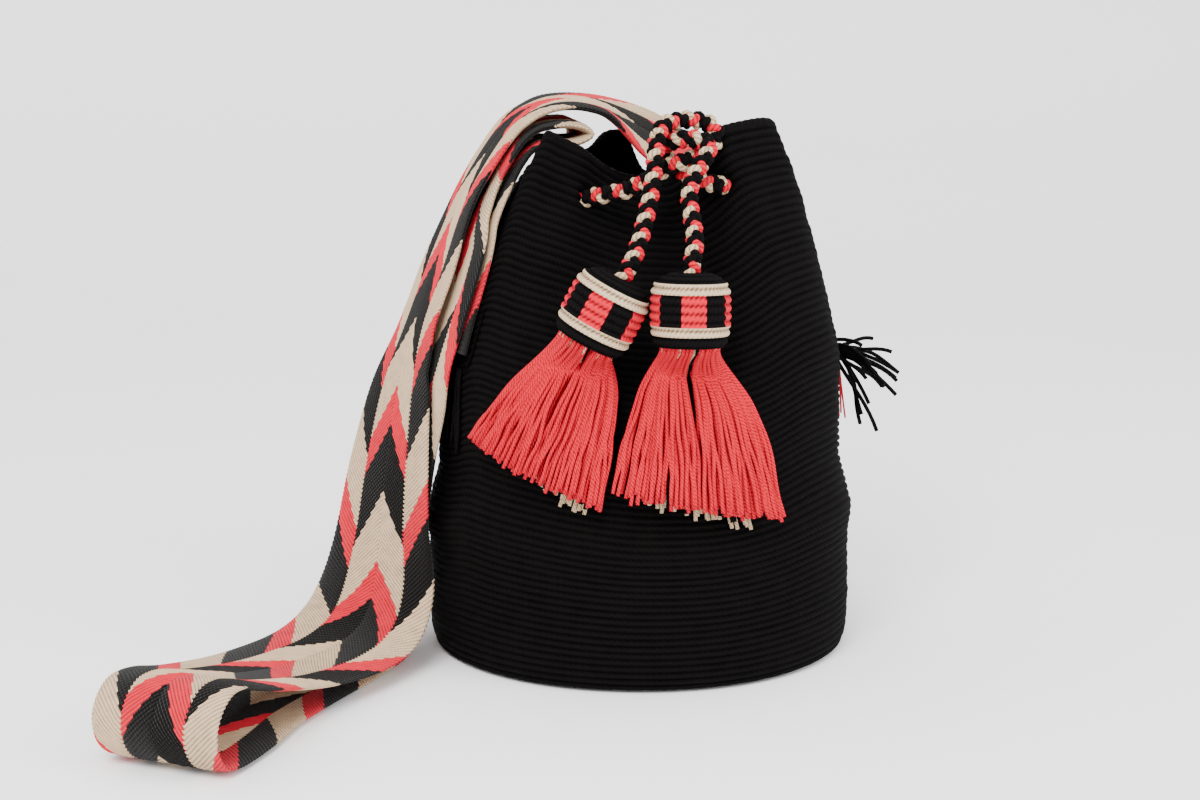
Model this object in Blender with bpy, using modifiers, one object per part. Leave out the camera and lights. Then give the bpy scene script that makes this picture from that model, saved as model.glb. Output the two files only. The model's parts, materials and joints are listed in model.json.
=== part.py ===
"""Mochila bag: a crocheted bucket bag with a cinched mouth, a woven shoulder strap, and a
braided drawstring that ends in two tassels.

Metres, +Z up.  The origin is the centre of the flat base.  The front, where the drawstring
is tied, faces -Y, and the strap is sewn to the two sides, at +X and -X.
"""
import math

import bpy
import numpy as np
from mathutils import Vector

MM = 0.001

# ---- driving dimensions, in millimetres ----
BODY_HEIGHT = 300.0
WALL = 3.5
CINCH_START = 110.0
STRAP_WIDTH = 72.0
STRAP_THICK = 4.5
STRAP_LAYER = 5.4
CORD_DIAMETER = 9.2
EYELET_RADIUS = 6.5
THREAD_DIAMETER = 1.4
GAP = 0.35
HINGE_CLEAR = 1.0

BLACK_YARN = (0.012, 0.011, 0.011)
PINK_YARN = (0.86, 0.13, 0.17)
BEIGE_YARN = (0.62, 0.44, 0.30)

# The side of the bag as height and radius: a soft fold a third of the way up, then a taper.
SIDE_PROFILE = [(0, 112), (3, 117), (10, 119.5), (22, 120), (65, 119.5), (84, 121.5), (98, 118),
                (115, 113.8), (150, 113.5), (174, 114), (193, 111), (220, 107), (250, 104), (300, 102)]

# The gathered rim: the base angle in degrees that each point grows from, and x, y, z.
RIM = [(-28, 66, -38, 298), (-14, 73, -20, 285), (2, 78, 2, 271), (18, 76, 25, 264),
       (34, 60, 34, 263), (48, 42, 26, 262), (62, 26, 33, 262), (76, 12, 48, 265),
       (88, 3, 58, 285), (98, -9, 57, 286), (111, -21, 43, 278), (123, -33, 45, 272),
       (136, -48, 45, 270), (155, -59, 25, 270), (178, -63, -1, 271), (193, -62, -15, 275),
       (206, -58, -30, 292), (218, -47, -28, 288), (230, -35, -25, 282), (244, -22, -10, 273),
       (256, -7, 5, 266), (267, 6, 8, 264), (280, 15, -7, 265), (294, 20, -30, 275), (310, 30, -50, 293),
       (321, 48, -48, 298)]

# ---- the scene and the materials ----
for old in list(bpy.data.objects):
    bpy.data.objects.remove(old, do_unlink=True)
bag = bpy.data.collections.new("mochila_bag")
guides = bpy.data.collections.new("cutters")
for group in (bag, guides):
    bpy.context.scene.collection.children.link(group)


def yarn(name, colour, roughness=0.9):
    """A Principled material for one colour of cotton yarn."""
    material = bpy.data.materials.new(name)
    material.use_nodes = True
    surface = material.node_tree.nodes["Principled BSDF"]
    surface.inputs["Base Color"].default_value = (*colour, 1.0)
    surface.inputs["Roughness"].default_value = roughness
    surface.inputs["Metallic"].default_value = 0.0
    return material


def smooth_curve(points, count, closed=False):
    """Evenly spaced points on a smooth curve through the given points, of any dimension."""
    knots = np.asarray(points, dtype=float)
    if closed:
        knots = np.vstack([knots[-1:], knots, knots[:2]])
    else:
        knots = np.vstack([2 * knots[0] - knots[1], knots, 2 * knots[-1] - knots[-2]])
    fine = []
    for a, b, c, d in zip(knots[:-3], knots[1:-2], knots[2:-1], knots[3:]):
        for t in np.linspace(0, 1, 16, endpoint=False):
            fine.append(0.5 * (2 * b + (c - a) * t + (2 * a - 5 * b + 4 * c - d) * t ** 2
                               + (3 * b - a - 3 * c + d) * t ** 3))
    fine.append(knots[-2])
    fine = np.array(fine)
    along = np.r_[0, np.cumsum(np.linalg.norm(np.diff(fine[:, :3], axis=0), axis=1))]
    want = np.linspace(0, along[-1], count, endpoint=not closed)
    return np.stack([np.interp(want, along, column) for column in fine.T], axis=1)


# ---- the body's surface, used by every piece that lies on it ----
profile_z, profile_r = np.array(SIDE_PROFILE, dtype=float).T


def ease(value):
    """A smooth step from 0 to 1."""
    value = min(max(value, 0.0), 1.0)
    return value * value * (3 - 2 * value)


def rim_at(angle):
    """The rim point above a base angle in degrees."""
    angles = [row[0] for row in RIM]
    angle = (angle - angles[0]) % 360 + angles[0]
    i = max(k for k, start in enumerate(angles) if start <= angle)
    count = len(RIM)

    def knot(k):
        return np.array(RIM[k % count], dtype=float) + np.array([360.0 * (k // count), 0, 0, 0])

    before, here, after, beyond = knot(i - 1), knot(i), knot(i + 1), knot(i + 2)
    t = (angle - here[0]) / (after[0] - here[0])
    step = after[0] - here[0]
    leave = (after - before) / (after[0] - before[0]) * step
    arrive = (beyond - here) / (beyond[0] - here[0]) * step
    point = ((2 * t ** 3 - 3 * t ** 2 + 1) * here + (t ** 3 - 2 * t ** 2 + t) * leave
             + (3 * t ** 2 - 2 * t ** 3) * after + (t ** 3 - t ** 2) * arrive)
    return point[1:]


def body_point(angle, share):
    """The outer surface at a base angle in degrees and a share of the local height."""
    rim = rim_at(angle)
    radius = float(np.interp(share * BODY_HEIGHT, profile_z, profile_r))
    turn = math.radians(angle)
    rise = max(0.0, (share * BODY_HEIGHT - CINCH_START) / (BODY_HEIGHT - CINCH_START))
    front = max(0.0, math.cos(math.radians(angle - 262)))
    gather = rise ** (3.5 - 1.6 * front ** 2)
    x = radius * math.cos(turn) * (1 - gather) + rim[0] * gather
    y = radius * math.sin(turn) * (1 - gather) + rim[1] * gather
    return np.array([x, y, share * rim[2]])


OUTLINE_ANGLES = np.arange(0, 360, 3.0)
RIM_HEIGHTS = np.array([rim_at(a)[2] for a in OUTLINE_ANGLES])


def body_radius(direction, z):
    """The distance from the axis to the outer surface, in a direction in degrees, at height z."""
    shares = np.clip(z / RIM_HEIGHTS, 0, 1)
    outline = np.array([body_point(a, s) for a, s in zip(OUTLINE_ANGLES, shares)])
    angles = np.degrees(np.arctan2(outline[:, 1], outline[:, 0]))
    order = np.argsort(angles)
    reach = np.hypot(outline[:, 0], outline[:, 1])
    turned = (direction + 180) % 360 - 180
    return float(np.interp(turned, angles[order], reach[order], period=360))


def on_body(direction, z, clear):
    """A point a set distance outside the surface, in a direction from the axis."""
    reach = body_radius(direction, z) + clear
    turn = math.radians(direction)
    return np.array([reach * math.cos(turn), reach * math.sin(turn), z])


# ---- builders shared by several pieces ----
def add_mesh(name, points, faces, material, group=bag):
    """A smooth-shaded mesh object from points in millimetres."""
    mesh = bpy.data.meshes.new(name)
    mesh.from_pydata([Vector(p) * MM for p in points], [], faces)
    mesh.validate()
    mesh.shade_smooth()
    mesh.materials.append(material)
    item = bpy.data.objects.new(name, mesh)
    group.objects.link(item)
    return item


def loft(name, rings, material):
    """A closed solid through a row of rings that have equal numbers of points."""
    size = len(rings[0])
    points = [p for ring in rings for p in ring]
    faces = []
    for row in range(len(rings) - 1):
        for k in range(size):
            a, b = row * size + k, row * size + (k + 1) % size
            faces.append((a, b, b + size, a + size))
    faces.append(tuple(range(size))[::-1])
    faces.append(tuple((len(rings) - 1) * size + k for k in range(size)))
    item = add_mesh(name, points, faces, material)
    item.data.set_sharp_from_angle(angle=math.radians(50))
    return item


def tube(name, points, diameter, material, parent=None, sides=2):
    """A cord or thread: a POLY curve with a round bevel and filled ends."""
    data = bpy.data.curves.new(name, "CURVE")
    data.dimensions = "3D"
    data.bevel_depth = diameter / 2 * MM
    data.bevel_resolution = sides
    data.use_fill_caps = True
    line = data.splines.new("POLY")
    line.points.add(len(points) - 1)
    for spot, p in zip(line.points, points):
        spot.co = (*(Vector(p) * MM), 1.0)
    data.materials.append(material)
    item = bpy.data.objects.new(name, data)
    item.parent = parent
    bag.objects.link(item)
    return item


def turned(name, outline, material, steps=20):
    """A solid of revolution about Z from a closed outline of radius and height."""
    item = add_mesh(name, [(r, 0, z) for r, z in outline], [], material)
    mesh = item.data
    mesh.edges.add(len(outline) - 1)
    for k, edge in enumerate(mesh.edges):
        edge.vertices = (k, k + 1)
    screw = item.modifiers.new("turn", "SCREW")
    screw.steps = screw.render_steps = steps
    screw.use_merge_vertices = True
    screw.merge_threshold = 0.00001
    screw.use_smooth_shade = True
    return item


# ---- bag body: one crocheted piece, a flat round base and a wall gathered at the rim ----
AROUND = 64
ROWS = [0.0, 0.012, 0.04, 0.1, 0.2, 0.26, 0.31, 0.37, 0.46, 0.55, 0.63, 0.7, 0.76, 0.82, 0.87, 0.915, 0.96,
        1.0]
BASE_RINGS = [50.0]


def build_body(material):
    """The wall and the base as one open shell, thickened inward."""
    angles = [360.0 * k / AROUND for k in range(AROUND)]
    points = [(0.0, 0.0, 0.0)]
    for radius in BASE_RINGS:
        points += [(radius * math.cos(math.radians(a)), radius * math.sin(math.radians(a)), 0.0)
                   for a in angles]
    for share in ROWS:
        points += [tuple(body_point(a, share)) for a in angles]
    faces = [(0, 1 + (k + 1) % AROUND, 1 + k) for k in range(AROUND)]
    for row in range(len(BASE_RINGS) + len(ROWS) - 1):
        for k in range(AROUND):
            a, b = 1 + row * AROUND + k, 1 + row * AROUND + (k + 1) % AROUND
            faces.append((a, b, b + AROUND, a + AROUND))
    body = add_mesh("bag_body", points, faces, material)
    wall = body.modifiers.new("wall", "SOLIDIFY")
    wall.thickness = WALL * MM
    wall.offset = -1
    wall.use_even_offset = False
    return body


# The two front eyelets: base angle in degrees and share of the local height.
EYELETS = {"left": (236.0, 0.925), "right": (304.0, 0.925)}


def surface_normal(angle, share):
    """The outward normal of the body's surface."""
    across = body_point(angle + 1, share) - body_point(angle - 1, share)
    up = body_point(angle, share + 0.01) - body_point(angle, share - 0.01)
    normal = np.cross(across, up)
    return normal / np.linalg.norm(normal)


def cut_eyelets(body):
    """A round hole through the wall for each end of the drawstring."""
    for side, (angle, share) in EYELETS.items():
        bpy.ops.mesh.primitive_cylinder_add(vertices=20, radius=EYELET_RADIUS * MM, depth=0.022)
        cutter = bpy.context.object
        cutter.name = "eyelet_cutter_" + side
        for group in list(cutter.users_collection):
            group.objects.unlink(cutter)
        guides.objects.link(cutter)
        cutter.location = Vector(body_point(angle, share)) * MM
        cutter.rotation_mode = "QUATERNION"
        cutter.rotation_quaternion = Vector((0, 0, 1)).rotation_difference(
            Vector(surface_normal(angle, share)))
        cutter.hide_render = True
        cutter.display_type = "WIRE"
        cut = body.modifiers.new("eyelet_" + side, "BOOLEAN")
        cut.operation = "DIFFERENCE"
        cut.solver = "EXACT"
        cut.object = cutter


# ---- shoulder strap: one woven band, sewn on at both ends ----
# Each row is the middle of the band (x, y, z), the direction from its back edge to its front
# edge, and how far it is kept from the body: a layer number and how closely it hugs.
STRAP_ROUTE = [
    # the right sewn end, bottom to top, then over the rim
    (110, 40, 172, 0.35, -1, 0, 1, 1), (109, 39, 186, 0.35, -1, 0, 1, 1),
    (102, 42, 212, 0.38, -1, 0, 1, 1), (92, 45, 234, 0.4, -1, 0, 1, 1),
    (83, 45, 254, 0.3, -1, 0.02, 1, 0), (77, 43, 268, 0.16, -1, 0.05, 1, 0),
    (68, 39, 278, 0.0, -1, 0.04, 0, 0),
    # across the mouth, its front edge drooping, and up into the arch
    (52, 34, 281, -0.13, -1, -0.1, 0, 0), (33, 31, 280, -0.3, -1, -0.28, 0, 0),
    (15, 31, 285, -0.38, -1, -0.3, 0, 0), (-2, 30, 295, -0.3, -1, -0.15, 0, 0),
    (-21, 28, 304, -0.16, -1, -0.05, 0, 0), (-44, 24, 306, -0.11, -1, -0.05, 0, 0),
    # down the left side, outside the other two layers
    (-63, 21, 299.5, 0, -1, -0.01, 0, 0), (-74, 20, 290, 0, -1, 0, 0, 0),
    (-80, 19, 281.5, 0, -1, 0, 0, 0), (-87.5, 17, 271, 0, -1, 0, 0, 0),
    (-99, 14, 251, 0.01, -1, 0, 0, 0), (-113, 12, 216, 0.1, -1, 0, 3, 0),
    (-126, 10, 182, 0.13, -1, 0, 3, 0), (-136, 5, 150, 0.36, -1, 0.04, 3, 0),
    (-144, -3, 109, 0.6, -1, 0.07, 0, 0), (-150, -12, 68, 0.85, -1, 0.03, 0, 0),
    (-156, -27, 40, 1, -0.65, -0.03, 0, 0), (-166, -44, 25, 1, -0.45, -0.12, 0, 0),
    # out over the floor, on top of the run that comes back
    (-183, -64, 19, 1, -0.48, -0.15, 0, 0), (-204, -87, 19, 1, -0.55, -0.15, 0, 0),
    (-224, -113, 23, 1, -0.62, -0.12, 0, 0), (-247, -150, 33, 1, -0.68, -0.05, 0, 0),
    (-263, -176, 41.5, 1, -0.71, 0, 0, 0),
    # the loop at the far end
    (-273, -191, 38.5, 1, -0.71, 0, 0, 0), (-278, -198, 22.5, 1, -0.71, 0, 0, 0),
    (-273, -191, 7, 1, -0.71, 0, 0, 0),
    # back along the floor and up beside the bag
    (-263, -175, 3.2, 1, -0.71, 0, 0, 0), (-250, -152, 3.2, 1, -0.71, 0, 0, 0),
    (-234, -118, 3.2, 1, -0.71, 0, 0, 0), (-211, -82, 3.2, 1, -0.71, 0, 0, 0),
    (-184, -42, 3.4, 1, -0.72, 0, 0, 0), (-164, -14, 7, 0.9, -0.8, 0, 0, 0),
    (-148, 4, 22, 0.65, -0.9, 0, 0, 0), (-137, 12, 46, 0.35, -1, 0, 0, 0),
    (-128, 10, 80, 0.12, -1, 0, 2, 0), (-124, 5, 115, -0.03, -1, 0, 2, 0.5),
    (-122, -5, 150, -0.1, -1, 0, 2, 1), (-119, -12, 182, -0.12, -1, 0, 2, 1),
    (-109, -12, 216, -0.1, -1, 0, 2, 1), (-96.5, 1, 240, -0.02, -1, 0, 2, 0.7),
    (-85, 13, 262, 0, -1, 0, 0, 0), (-79.5, 15, 271.5, 0, -1, 0, 0, 0),
    # over the rim, folded back under itself, and down to the left sewn end
    (-73.5, 17, 281, 0, -1, 0, 0, 0), (-66, 19.5, 289, 0, -1, 0, 0, 0),
    (-57, 21, 293.5, 0, -1, 0, 0, 0), (-47, 21.5, 295.5, -0.02, -1, 0, 0, 0),
    (-35, 22, 295, -0.03, -1, 0, 0, 0), (-28, 22, 290.3, -0.03, -1, 0, 0, 0),
    (-35, 21.5, 285.5, -0.03, -1, 0, 0, 0), (-46, 21, 285.5, -0.02, -1, 0, 0, 0),
    (-57, 20, 284.5, 0, -1, 0, 0, 0), (-65, 18, 280.5, 0, -1, 0, 0, 0),
    (-69.5, 16, 275, 0, -1, 0, 0, 0), (-73.5, 14, 269, 0, -1, 0, 0, 0),
    (-78, 12, 261, 0, -1, 0, 0, 0), (-90, 0, 240, -0.03, -1, 0, 1, 0.7),
    (-104, -10, 214, -0.1, -1, 0, 1, 1), (-112, -13, 186, -0.12, -1, 0, 1, 1),
    (-113, -13, 174, -0.12, -1, 0, 1, 1),
]
SHOULDER_HEIGHT = 262.0
HUG_TOP = 250.0
STRAP_STATIONS = 144
STRAP_COLUMNS = 4


def strap_rows():
    """The middle surface of the band, as one row of points for each station."""
    route = smooth_curve(STRAP_ROUTE, STRAP_STATIONS)
    middle = route[:, :3]
    rows = []
    for k, station in enumerate(route):
        ahead = middle[min(k + 1, len(middle) - 1)] - middle[max(k - 1, 0)]
        ahead /= np.linalg.norm(ahead)
        across = station[3:6] - ahead * np.dot(station[3:6], ahead)
        across /= np.linalg.norm(across)
        layer = max(station[6], 0.0)
        hug = min(max(station[7], 0.0), 1.0) * ease((HUG_TOP - station[2]) / 30)
        row = []
        for share in np.linspace(-0.5, 0.5, STRAP_COLUMNS + 1):
            point = station[:3] + across * share * STRAP_WIDTH
            if layer > 0.05 and point[2] < SHOULDER_HEIGHT:
                direction = math.degrees(math.atan2(point[1], point[0]))
                clear = STRAP_THICK / 2 + 1.3 + (layer - 1) * STRAP_LAYER
                reach = math.hypot(point[0], point[1])
                least = body_radius(direction, point[2]) + clear
                wanted = max(reach, least) * (1 - hug) + least * hug
                point[:2] *= wanted / reach
            row.append(point)
        rows.append(row)
    return rows


def build_strap(rows, material):
    """The band as a grid along its route, thickened equally on both faces."""
    wide = STRAP_COLUMNS + 1
    points = [p for row in rows for p in row]
    faces = []
    for r in range(len(rows) - 1):
        for c in range(STRAP_COLUMNS):
            a = r * wide + c
            faces.append((a, a + 1, a + 1 + wide, a + wide))
    strap = add_mesh("shoulder_strap", points, faces, material)
    thick = strap.modifiers.new("thickness", "SOLIDIFY")
    thick.thickness = STRAP_THICK * MM
    thick.offset = 0
    thick.use_even_offset = False
    return strap


# ---- sewing thread and fringe at the strap's ends ----
SEAM_TOP = {"right": 240.0, "left": 200.0}
SEAM_REACH = 4.6


def build_seam(side, rows, material):
    """A thread on the body along the front edge, the bottom and the back edge of a sewn end."""
    ends = rows if side == "right" else rows[::-1]
    sewn = [row for row in ends[:STRAP_STATIONS // 5] if row[STRAP_COLUMNS // 2][2] < SEAM_TOP[side]]
    outward = [(row[-1] - row[0]) / STRAP_WIDTH * SEAM_REACH for row in sewn]
    front = [row[-1] + push for row, push in zip(sewn, outward)]
    back = [row[0] - push for row, push in zip(sewn, outward)]
    below = np.array([0, 0, -SEAM_REACH - STRAP_THICK / 2])
    bottom = [sewn[0][c] + below for c in range(STRAP_COLUMNS, -1, -1)]
    path = front[:0:-1] + bottom + back[1:]
    clear = THREAD_DIAMETER / 2 + 0.6
    points = [on_body(math.degrees(math.atan2(y, x)), z, clear) for x, y, z in path]
    tube("strap_seam_" + side, smooth_curve(points, 32), THREAD_DIAMETER, material, sides=1)


def build_fringes(material):
    """The loose yarn ends below each sewn end: a spray on the right, a flat mat on the left."""
    rings = []
    for share, radius in ((0.0, 2.5), (0.25, 4.5), (0.6, 8.5), (1.0, 13.0)):
        centre = np.array([118.5, 2.0, 163.0]) + share * np.array([23.0, -9.0, -17.0])
        side, up = np.array([0.55, -0.45, 0.7]), np.array([0.35, 0.85, 0.3])
        rings.append([centre + radius * (0.55 * side * math.cos(t) + up * math.sin(t))
                      for t in np.linspace(0, 2 * math.pi, 14, endpoint=False)])
    rings = [ring[::-1] for ring in rings]
    loft("strap_fringe_right", rings, material)
    rings = []
    for z in (162.5, 150.0, 132.0, 120.0):
        lean = 0.12 * (163 - z)
        outer = [on_body(187 - lean + d, z, 3.4) for d in (-15, -7, 0, 7, 15)]
        inner = [on_body(187 - lean + d, z, 0.8) for d in (15, 7, 0, -7, -15)]
        rings.append(outer + inner)
    loft("strap_fringe_left", [ring[::-1] for ring in rings], material)


# ---- drawstring: one braided cord, as the run inside the mouth, two leads and two tails ----
MOUTH_ROUTE = [(38.5, -51, 264.5), (42.8, -46.2, 263.7), (50, -39, 259.5), (57, -32, 255),
               (66, -21, 250.5), (71, -4, 246), (68, 14, 242), (54, 27, 240), (35, 31, 240),
               (17, 45, 243), (-6, 53, 246), (-26, 43, 247), (-46, 34, 247), (-58, 18, 247),
               (-62, -1, 247), (-59, -14, 247.5), (-51.5, -19.5, 250), (-45.3, -26, 253.2),
               (-40.2, -31.4, 255.6)]
# Each front cord: from inside its eyelet, through the knot, down into its tassel cap.
LEFT_ROUTE = [(-39.5, -32.1, 256), (-32.5, -39.7, 259), (-26, -45, 260.5), (-17, -49.5, 263),
              (-10, -54, 267), (-4, -60, 272), (1, -65, 276), (8, -68, 278.8), (15, -66.5, 281),
              (22.5, -62, 284), (28, -58.5, 288), (29.5, -57.5, 294), (25, -57, 298.8),
              (16, -58, 300.8), (8, -59.5, 300.3), (0, -63.5, 298.5), (-5, -70, 293),
              (-7.5, -76, 285), (-9.5, -80, 274), (-12.5, -85, 262), (-17, -93, 250),
              (-22, -101, 239), (-27.8, -108.5, 229.5), (-33.2, -109.6, 221.4)]
RIGHT_ROUTE = [(37.6, -52, 264.6), (30.2, -60.1, 265.8), (25, -62, 267.3), (18, -60, 269),
               (11, -56.5, 272), (6, -53, 277), (1.5, -53.5, 283), (2, -58, 288), (7, -65.5, 290.5),
               (14, -71.5, 291.5), (19.5, -75.5, 290), (20, -80, 285), (15.5, -84, 279.5),
               (11, -86.5, 273), (8, -89, 266), (7, -94, 258), (7, -101.5, 249), (6, -110, 239.5),
               (3, -117, 231), (2.1, -118.9, 223.3)]
CORD_SPACING = 5.5
CORD_CUTS = {"left": 0.61, "right": 0.53}


def cord_points(route):
    """Points along one cord, on a smooth curve through its route."""
    steps = np.diff(np.asarray(route, dtype=float), axis=0)
    length = float(np.linalg.norm(steps, axis=1).sum())
    return smooth_curve(route, max(10, min(78, round(length / CORD_SPACING))))


def build_front_cord(side, route, material):
    """A lead and a tail that meet where the tail leaves the knot, and the fold at their front."""
    points = cord_points(route)
    cut = round(CORD_CUTS[side] * (len(points) - 1))
    ahead = points[cut + 1] - points[cut]
    middle = (points[cut + 1] + points[cut]) / 2
    step = ahead / np.linalg.norm(ahead) * GAP / 2
    lead = np.vstack([points[:cut + 1], middle - step])
    tail = np.vstack([middle + step, points[cut + 1:]])
    tube("drawstring_lead_" + side, lead, CORD_DIAMETER, material)
    forward = np.array([0.0, -1.0, 0.0])
    forward -= step * np.dot(forward, step) / np.dot(step, step)
    pivot = middle + forward / np.linalg.norm(forward) * (CORD_DIAMETER / 2 + HINGE_CLEAR)
    return pivot, tube("drawstring_tail_" + side, tail, CORD_DIAMETER, material)


# ---- tassels: a crocheted cap, the knotted cord end inside it, and a skirt of loose yarn ----
# Each tassel: the middle of its cap, the cap's axis (upward), and the skirt's spread as
# direction in degrees, half width, height of the left and right lower corners.
TASSELS = {
    "right": {"cap": (1.6, -119.9, 206.5), "axis": (0.02, 0.06, 1.0), "top": (272.0, 16.0),
              "low": (272.5, 21.0), "z_top": 186.5, "z_low": (112.0, 96.0)},
    "left": {"cap": (-41.8, -108.0, 206.0), "axis": (0.45, -0.10, 0.88), "top": (243.0, 16.0),
             "low": (232.0, 17.5), "z_top": 187.0, "z_low": (135.0, 104.0)},
}
CAP_OUTLINE = [(5.8, 19.5), (13, 18.5), (17.5, 15.5), (20, 10.5), (20.5, 3), (20.5, -6),
               (19.6, -13), (18, -18.5), (15.5, -18.5), (17.2, -12.5), (18, -6), (18, 3),
               (17.4, 9), (15, 13.4), (11, 16), (5.8, 16.8)]
KNOT_OUTLINE = [(0, 8), (4.0, 7.2), (8.0, 4.5), (9.5, 0.5), (8.2, -4.5), (4.5, -7.3), (0, -8)]
KNOT_SLIDE = 8.0
BINDING_OUTLINE = [(0, 2.5), (12, 2.5), (13, 1), (13, -1), (12, -2.5), (0, -2.5)]
BINDING_SLIDE = -8.0


def place(item, centre, axis, slide=0.0, parent=None):
    """Stand a turned piece on its axis, a distance along it from the centre."""
    direction = Vector(axis).normalized()
    item.rotation_mode = "QUATERNION"
    item.rotation_quaternion = Vector((0, 0, 1)).rotation_difference(direction)
    item.location = (Vector(centre) + direction * slide) * MM - parent.location
    item.parent = parent


NECK_RADIUS = 15.0
NECK_SLIDE = -19.4
NECK_SHARE = 0.4


def skirt_ring(spec, share, depth, thick, widen, drop):
    """One cross-section of a skirt layer: round under the cap, then an oval that follows the body."""
    spread = share ** 0.75
    middle = spec["top"][0] + (spec["low"][0] - spec["top"][0]) * share
    top_half = math.degrees(spec["top"][1] / 118.0)
    half = (top_half + (spec["low"][1] - top_half) * spread) * widen
    axis = np.array(spec["axis"]) / np.linalg.norm(spec["axis"])
    out = np.array([math.cos(math.radians(middle)), math.sin(math.radians(middle)), 0.0])
    side = np.cross(axis, out)
    side /= np.linalg.norm(side)
    front = np.cross(side, axis)
    neck = np.array(spec["cap"]) + axis * (NECK_SLIDE - 40.0 * share)
    flow = ease(share / NECK_SHARE)
    ring = []
    for t in np.linspace(0, 2 * math.pi, 22, endpoint=False):
        reach = math.copysign(abs(math.cos(t)) ** 0.7, math.cos(t))
        lift = math.copysign(abs(math.sin(t)) ** 0.8, math.sin(t))
        low = (spec["z_low"][0] + spec["z_low"][1]) / 2 + reach * (
            spec["z_low"][1] - spec["z_low"][0]) / 2 - drop
        z = spec["z_top"] + (low - spec["z_top"]) * share
        oval = on_body(middle + half * reach, z, depth + thick * (0.5 + 0.5 * lift))
        round_neck = neck + NECK_RADIUS * (side * math.cos(t) + front * math.sin(t))
        ring.append(round_neck * (1 - flow) + oval * flow)
    return ring


def build_skirt(side, colour, material, parent, depth, thick, widen, drop, start):
    """A layer of the skirt, from under the cap to its cut ends."""
    spec = TASSELS[side]
    rings = []
    for share in np.linspace(start, 1.0, 7):
        taper = min(1.0, 0.75 + share)
        rings.append(skirt_ring(spec, share, depth, thick * taper, widen, drop))
    item = loft("tassel_yarn_" + colour + "_" + side, rings, material)
    item.matrix_parent_inverse.identity()
    item.location = -parent.location
    item.parent = parent


def build_tassel(side, materials, pivot):
    """All the pieces of one tassel, on an empty at its swing axis."""
    hinge = bpy.data.objects.new("tassel_swing_" + side, None)
    hinge.location = Vector(pivot) * MM
    hinge.hide_render = True
    bag.objects.link(hinge)
    spec = TASSELS[side]
    cap = turned("tassel_cap_" + side, CAP_OUTLINE + CAP_OUTLINE[:1], materials["beige"])
    place(cap, spec["cap"], spec["axis"], 0.0, hinge)
    knot = turned("tassel_knot_" + side, KNOT_OUTLINE, materials["black"], 16)
    place(knot, spec["cap"], spec["axis"], KNOT_SLIDE, hinge)
    binding = turned("tassel_binding_" + side, BINDING_OUTLINE, materials["black"], 16)
    place(binding, spec["cap"], spec["axis"], BINDING_SLIDE, hinge)
    build_skirt(side, "pink", materials["pink"], hinge, 13.0, 10.5, 1.0, 0.0, 0.0)
    build_skirt(side, "black", materials["black"], hinge, 7.4, 3.6, 0.72, 3.0, 0.42)
    build_skirt(side, "beige", materials["beige"], hinge, 1.8, 3.6, 0.66, 8.0, 0.42)
    return hinge


# ---- assembly ----
yarns = {"black": yarn("black_cotton_crochet", BLACK_YARN), "pink": yarn("pink_cotton_yarn", PINK_YARN),
         "beige": yarn("beige_cotton_yarn", BEIGE_YARN)}
strap_weave = yarn("strap_weave", BEIGE_YARN)
cord_braid = yarn("drawstring_braid", PINK_YARN)

body = build_body(yarns["black"])
cut_eyelets(body)
band = strap_rows()
build_strap(band, strap_weave)
for side in ("right", "left"):
    build_seam(side, band, yarns["black"])
build_fringes(yarns["black"])
tube("drawstring_mouth_run", cord_points(MOUTH_ROUTE), CORD_DIAMETER, cord_braid)
for side, route in (("right", RIGHT_ROUTE), ("left", LEFT_ROUTE)):
    pivot, tail = build_front_cord(side, route, cord_braid)
    swing = build_tassel(side, yarns, pivot)
    tail.location = -swing.location
    tail.parent = swing
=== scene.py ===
"""Looks for the crocheted mochila bag: its wall, woven strap, braided drawstring and tassels.

Lengths are millimetres until a mesh is made.  +Z is up, and the front of the bag faces -Y.
"""
import json
import math

import bpy
import numpy as np
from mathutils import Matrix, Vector


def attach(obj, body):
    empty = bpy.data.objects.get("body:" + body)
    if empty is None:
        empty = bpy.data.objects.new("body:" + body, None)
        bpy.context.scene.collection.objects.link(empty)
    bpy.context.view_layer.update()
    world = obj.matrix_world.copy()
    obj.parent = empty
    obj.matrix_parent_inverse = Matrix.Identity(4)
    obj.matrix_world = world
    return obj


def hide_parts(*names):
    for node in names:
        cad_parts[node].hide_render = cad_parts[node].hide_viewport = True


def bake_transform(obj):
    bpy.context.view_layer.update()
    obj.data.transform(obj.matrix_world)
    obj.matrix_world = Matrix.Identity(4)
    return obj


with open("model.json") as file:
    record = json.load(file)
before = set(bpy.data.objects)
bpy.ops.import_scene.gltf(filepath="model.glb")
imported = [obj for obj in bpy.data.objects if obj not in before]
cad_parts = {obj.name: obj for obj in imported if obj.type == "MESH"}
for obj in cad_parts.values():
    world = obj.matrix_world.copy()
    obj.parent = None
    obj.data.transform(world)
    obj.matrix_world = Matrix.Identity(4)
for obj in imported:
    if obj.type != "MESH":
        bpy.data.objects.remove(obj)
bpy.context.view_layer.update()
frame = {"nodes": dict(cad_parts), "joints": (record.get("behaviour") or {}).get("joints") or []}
rng = np.random.default_rng(7)

# ---- camera ----
# A short telephoto view from in front of the bag, a little to its left, looking slightly down.
MM = 0.001
lens = bpy.data.cameras.new("camera")
lens.lens = 70.0
lens.sensor_width = 36.0
camera = bpy.data.objects.new("camera", lens)
camera.location = (-0.2729, -1.2837, 0.3788)
camera.rotation_euler = (math.radians(90 - 10.3975), 0.0, math.radians(-11.03))
bpy.context.scene.collection.objects.link(camera)
bpy.context.scene.camera = camera

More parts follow.
